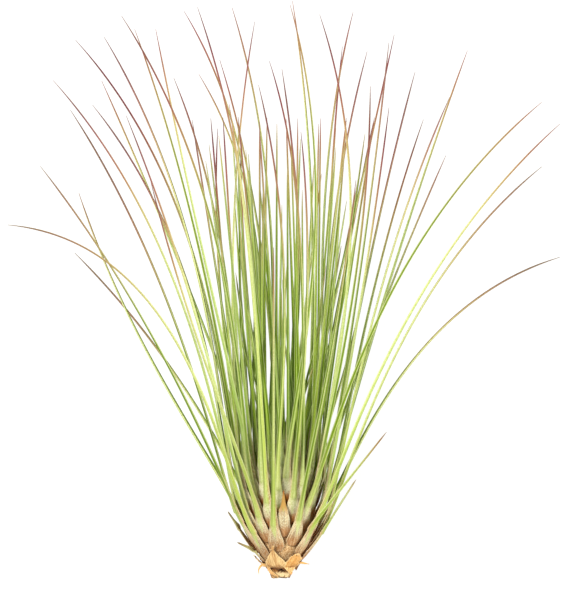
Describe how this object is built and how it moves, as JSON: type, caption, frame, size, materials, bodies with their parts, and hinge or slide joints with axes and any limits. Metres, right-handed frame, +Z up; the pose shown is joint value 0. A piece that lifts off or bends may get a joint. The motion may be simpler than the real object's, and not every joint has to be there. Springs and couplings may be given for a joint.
{
  "type": "air plant",
  "caption": "Lying air plant: a scaly bulb of overlapping leaf bases with a wide tuft of long rush-like leaves, dry torn sheaths and a broken stem end.",
  "frame": {"origin": "the flat spot under the bulb, on the lowest leaf, where the lying plant bears on the surface", "axes": "+Z up from the surface, +Y from the broken stem end towards the leaf tips, +X to the right of that"},
  "size_m": [0.2643, 0.278, 0.1595],
  "materials": {
    "leaf": "satin",
    "young_leaf": "satin",
    "dry_sheath": "matte",
    "stem": "matte"
  },
  "bodies": {
    "root": {"leaf_01": "leaf", "leaf_02": "leaf", "leaf_03": "leaf", "leaf_04": "leaf", "leaf_05": "leaf", "leaf_06": "leaf", "leaf_07": "leaf", "leaf_08": "leaf", "leaf_09": "leaf", "leaf_10": "leaf", "leaf_11": "leaf", "leaf_12": "leaf", "leaf_13": "leaf", "leaf_14": "leaf", "leaf_15": "leaf", "leaf_16": "leaf", "leaf_17": "leaf", "leaf_18": "leaf", "leaf_19": "leaf", "leaf_20": "leaf", "leaf_21": "leaf", "leaf_22": "leaf", "leaf_23": "leaf", "leaf_24": "leaf", "leaf_25": "leaf", "leaf_26": "leaf", "leaf_27": "leaf", "leaf_28": "leaf", "leaf_29": "leaf", "leaf_30": "leaf", "leaf_31": "leaf", "leaf_32": "leaf", "leaf_33": "leaf", "leaf_34": "leaf", "leaf_35": "leaf", "leaf_36": "leaf", "leaf_37": "leaf", "leaf_38": "leaf", "leaf_39": "leaf", "leaf_40": "leaf", "leaf_41": "leaf", "leaf_42": "leaf", "leaf_43": "leaf", "leaf_44": "leaf", "leaf_45": "leaf", "leaf_46": "leaf", "leaf_47": "leaf", "leaf_48": "leaf", "leaf_49": "leaf", "leaf_50": "leaf", "leaf_51": "leaf", "leaf_52": "leaf", "leaf_53": "leaf", "leaf_54": "leaf", "leaf_55": "leaf", "leaf_56": "leaf", "heart_leaves": "young_leaf", "dry_sheaths": "dry_sheath", "stem_stub": "stem"}
  },
  "joints": []
}
